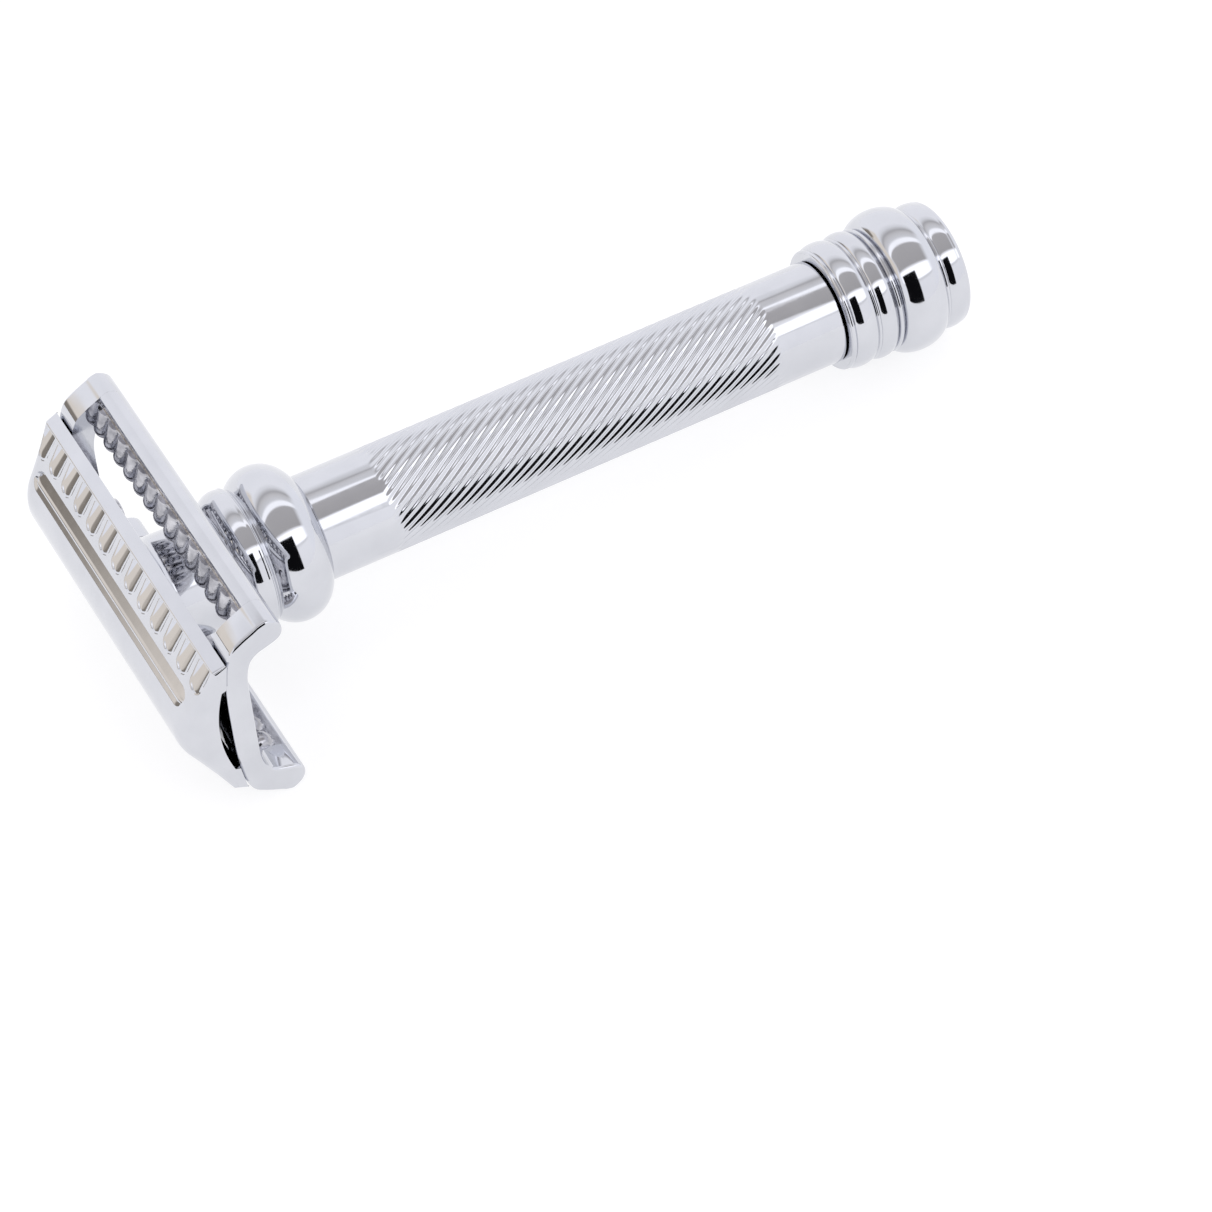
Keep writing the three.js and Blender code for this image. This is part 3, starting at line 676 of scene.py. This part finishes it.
def grip_shell():
    """A tube with left-hand spiral grooves that run out at both ends."""
    count = SPIRAL_GROOVES * POINTS_PER_GROOVE
    angle = 2 * np.pi * np.arange(count) / count
    phase = np.arange(count) % POINTS_PER_GROOVE / POINTS_PER_GROOVE
    channel = np.sin(np.pi * phase) ** 2
    stations = np.concatenate([[GRIP_START, GRIP_START + GRIP_CHAMFER_LENGTH],
                               np.linspace(*SPIRAL, SPIRAL_STATIONS),
                               [GRIP_END - GRIP_CHAMFER_LENGTH, GRIP_END]])
    outer = []
    for along in stations:
        inside = min(along - SPIRAL[0], SPIRAL[1] - along)
        depth = SPIRAL_DEPTH * min(max(inside / SPIRAL_RUN_OUT, 0), 1)
        chamfer = GRIP_CHAMFER if along in (GRIP_START, GRIP_END) else 0
        twist = -2 * np.pi * (min(max(along, SPIRAL[0]), SPIRAL[1]) - SPIRAL[0]) / SPIRAL_LEAD
        radius = CORE - chamfer - depth * channel
        turned_to = angle + twist
        outer.append(np.stack([np.full(count, along),
                               radius * np.cos(turned_to), radius * np.sin(turned_to)], -1))
    inner = []
    for loop in (outer[-1], outer[0]):
        unit = loop[:, 1:] / np.linalg.norm(loop[:, 1:], axis=1)[:, None]
        inner.append(np.column_stack([loop[:, 0], unit * BORE]))
    return loft(outer + inner, ring=True)


piece("grip_spiral", Shells().add(grip_shell()), "handle", "handle_tube",
      [GRIP_CHROME], sharp=30)

KNOB_START = 76.75
KNOB_FACE = 91.9
KNOB_ROUND = 0.75
KNOB_BORE = [(91.9, 3.8), (91.8, 3.7), (88.3, 3.7), (88.3, 1.9), (86.5, 1.9), (86.5, 2.8),
             (78.65, 2.8), (78.65, BORE), (KNOB_START, BORE)]
PLUG = [(90.5, 0.02), (90.5, 3.4), (91.8, 3.4), (91.8, 0.9), (91.74, 0.75), (91.74, 0.02)]

knob = ringed(KNOB_RINGS + KNOB_BEADS, KNOB_CORE, KNOB_START, KNOB_FACE - KNOB_ROUND)
flat_radius = knob[-1][1] - KNOB_ROUND
for turn in np.linspace(0, np.pi / 2, 9)[1:]:
    knob.append((KNOB_FACE - KNOB_ROUND + KNOB_ROUND * math.sin(turn),
                 flat_radius + KNOB_ROUND * math.cos(turn)))
knob += KNOB_BORE
piece("knob_turned", Shells().add(turned(knob, RING_SEGMENTS)), "drive", "knob", [CHROME])
plug = turned(rounded(PLUG, radius=0.07, steps=3), segments=96)
piece("plug_end", Shells().add(plug), "drive", "knob_plug", [CHROME])

# ---- materials of the carried-over inner pieces ---------------------------------------------

INNER = {
    "neck_sleeve": STEEL, "neck_bush": BRASS, "rear_bush": BRASS, "draw_nut": BRASS,
    "draw_rod": STEEL, "retaining_clip": STEEL, "spring_washer": STEEL, "thrust_washer": BRASS,
    "knob_screw": STEEL,
}
for name, material in INNER.items():
    node = frame["nodes"][name]
    node.data.materials.clear()
    node.data.materials.append(material)

# ---- floor and studio -----------------------------------------------------------------------

FLOOR_HALF = 4.0
FLOOR_CORNERS = [(x * FLOOR_HALF, y * FLOOR_HALF, 0) for x, y in ((-1, -1), (1, -1), (1, 1), (-1, 1))]
PAPER_LEVELS = (0.29, 0.31)
PAPER_ROUGHNESS = 0.75
PAPER_SPECULAR = 0.1
PAPER_GLOW = (0.99, 0.99, 1.0, 1)
PAPER_GLOW_STRENGTH = 0.79

floor_mesh = bpy.data.meshes.new("floor")
floor_mesh.from_pydata(FLOOR_CORNERS, [], [(0, 1, 2, 3)])
floor = bpy.data.objects.new("floor", floor_mesh)
bpy.context.scene.collection.objects.link(floor)
paper, tree, shader = new_material("white_paper")
paper_tint = ramp(tree, noise(tree, scale=30, detail=3), *greys(PAPER_LEVELS))
tree.links.new(paper_tint, shader.inputs["Base Color"])
shader.inputs["Roughness"].default_value = PAPER_ROUGHNESS
shader.inputs["Specular IOR Level"].default_value = PAPER_SPECULAR
shader.inputs["Emission Color"].default_value = PAPER_GLOW
shader.inputs["Emission Strength"].default_value = PAPER_GLOW_STRENGTH
floor_mesh.materials.append(paper)

# What the chrome sees round the handle's axis, from the horizon behind (-90 degrees), over the
# top, to the horizon in front (90 degrees): degrees, level, and how warm it is.
STUDIO_ARC = [
    (-90, 1.10, 0), (-46, 1.10, 0), (-38, 0.95, 0), (-30, 0.55, 0.02), (-24, 0.74, 0.02),
    (-15, 0.88, 0), (-11, 1.4, 0), (-5, 1.4, 0), (-2, 0.56, 0.03), (31, 0.50, 0.03),
    (36, 1.7, 0), (54, 1.7, 0), (57, 0.85, 0), (61, 1.12, 0), (90, 1.08, 0),
]
ARC_BLUE = 1.03
BROWN_LOW_LEFT = (0.30, 0.265, 0.225, 1)
BEIGE_LEFT = (0.97, 0.89, 0.79, 1)
TABLE_EDGE = (0.05, 0.045, 0.04, 1)
PALE_SIDE = (1.08, 1.09, 1.14, 1)
DARK_IN_FRONT = (0.005, 0.005, 0.006, 1)
BACKDROP = (1.1, 1.1, 1.1, 1)

# Where those zones begin and are complete, on the parts x, y, z of the direction looked in, z
# up, and on the angle over the handle's axis in radians.
SIDE_X = (0.70, 0.88)
LEFT_X = (0.40, 0.55)
LEFT_Y = (-0.25, -0.15)
LEFT_TOP_Z = (0.50, 0.62)
BROWN_Y = (0.635, 0.69)
BROWN_TOP_Z = (0.24, 0.36)
BACK_Y = (0.10, 0.35)
BROWN_LOW_Z = (0.02, 0.07)
TABLE_Z = (0.005, 0.025)
DARK_FROM_X = (-0.74, -0.70)
DARK_TO_X = (0.09, 0.13)
DARK_OVER = (0.70, 0.74)

KEY_AT = (-0.1, -0.35, 0.9)
KEY_SIZE = 0.7
KEY_WATTS = 1.2

world = bpy.data.worlds.new("studio")
bpy.context.scene.world = world
world.use_nodes = True
tree = world.node_tree
background = tree.nodes["Background"]


def maths(operation, first, second=0):
    node = tree.nodes.new("ShaderNodeMath")
    node.operation = operation
    for socket, value in zip(node.inputs, (first, second)):
        if isinstance(value, (int, float)):
            socket.default_value = value
        else:
            tree.links.new(value, socket)
    return node.outputs[0]


def spread(value, ends):
    """0 at the first end to 1 at the second, eased."""
    node = tree.nodes.new("ShaderNodeMapRange")
    node.interpolation_type = "SMOOTHSTEP"
    node.inputs["From Min"].default_value = ends[0]
    node.inputs["From Max"].default_value = ends[1]
    tree.links.new(value, node.inputs["Value"])
    return node.outputs["Result"]


def rest_of(share):
    return maths("SUBTRACT", 1, share)


def mixed(share, first, second):
    """The first colour at share 0, the second at share 1."""
    node = tree.nodes.new("ShaderNodeMix")
    node.data_type = "RGBA"
    tree.links.new(share, node.inputs[0])
    for socket, value in ((node.inputs[6], first), (node.inputs[7], second)):
        if isinstance(value, tuple):
            socket.default_value = value
        else:
            tree.links.new(value, socket)
    return node.outputs[2]


place = tree.nodes.new("ShaderNodeTexCoord")
parts = tree.nodes.new("ShaderNodeSeparateXYZ")
tree.links.new(place.outputs["Generated"], parts.inputs[0])
x, y, z = parts.outputs
over = maths("ARCTAN2", maths("MULTIPLY", y, -1), z)
share = maths("ADD", maths("MULTIPLY", over, 1 / math.pi), 0.5)
arc = tree.nodes.new("ShaderNodeValToRGB")
while len(arc.color_ramp.elements) < len(STUDIO_ARC):
    arc.color_ramp.elements.new(0.5)
for element, (degrees, level, warm) in zip(arc.color_ramp.elements, STUDIO_ARC):
    element.position = degrees / 180 + 0.5
    element.color = (level * (1 + warm), level, level * (ARC_BLUE - warm), 1)
tree.links.new(share, arc.inputs["Fac"])
to_side = spread(maths("ABSOLUTE", x), SIDE_X)
colour = mixed(to_side, arc.outputs["Color"], PALE_SIDE)
back_left = mixed(spread(y, BROWN_Y), BEIGE_LEFT, BROWN_LOW_LEFT)
back_left = mixed(spread(z, BROWN_TOP_Z), back_left, BEIGE_LEFT)
left = mixed(spread(y, BACK_Y), BEIGE_LEFT, back_left)
left = mixed(spread(z, BROWN_LOW_Z), BROWN_LOW_LEFT, left)
left = mixed(spread(z, TABLE_Z), TABLE_EDGE, left)
to_left = maths("MULTIPLY", spread(maths("MULTIPLY", x, -1), LEFT_X), spread(y, LEFT_Y))
colour = mixed(maths("MULTIPLY", to_left, rest_of(spread(z, LEFT_TOP_Z))), colour, left)
in_front = maths("MULTIPLY", spread(x, DARK_FROM_X), rest_of(spread(x, DARK_TO_X)))
colour = mixed(maths("MULTIPLY", in_front, spread(over, DARK_OVER)), colour, DARK_IN_FRONT)
seen = tree.nodes.new("ShaderNodeLightPath")
colour = mixed(seen.outputs["Is Camera Ray"], colour, BACKDROP)
tree.links.new(colour, background.inputs["Color"])
background.inputs["Strength"].default_value = 1.0

key_data = bpy.data.lights.new("soft_key", "AREA")
key_data.size = KEY_SIZE
key_data.energy = KEY_WATTS
key = bpy.data.objects.new("soft_key", key_data)
bpy.context.scene.collection.objects.link(key)
key.location = KEY_AT
key.rotation_euler = (-key.location).to_track_quat("-Z", "Y").to_euler()
key.visible_glossy = False

bpy.context.scene.view_settings.view_transform = "Standard"
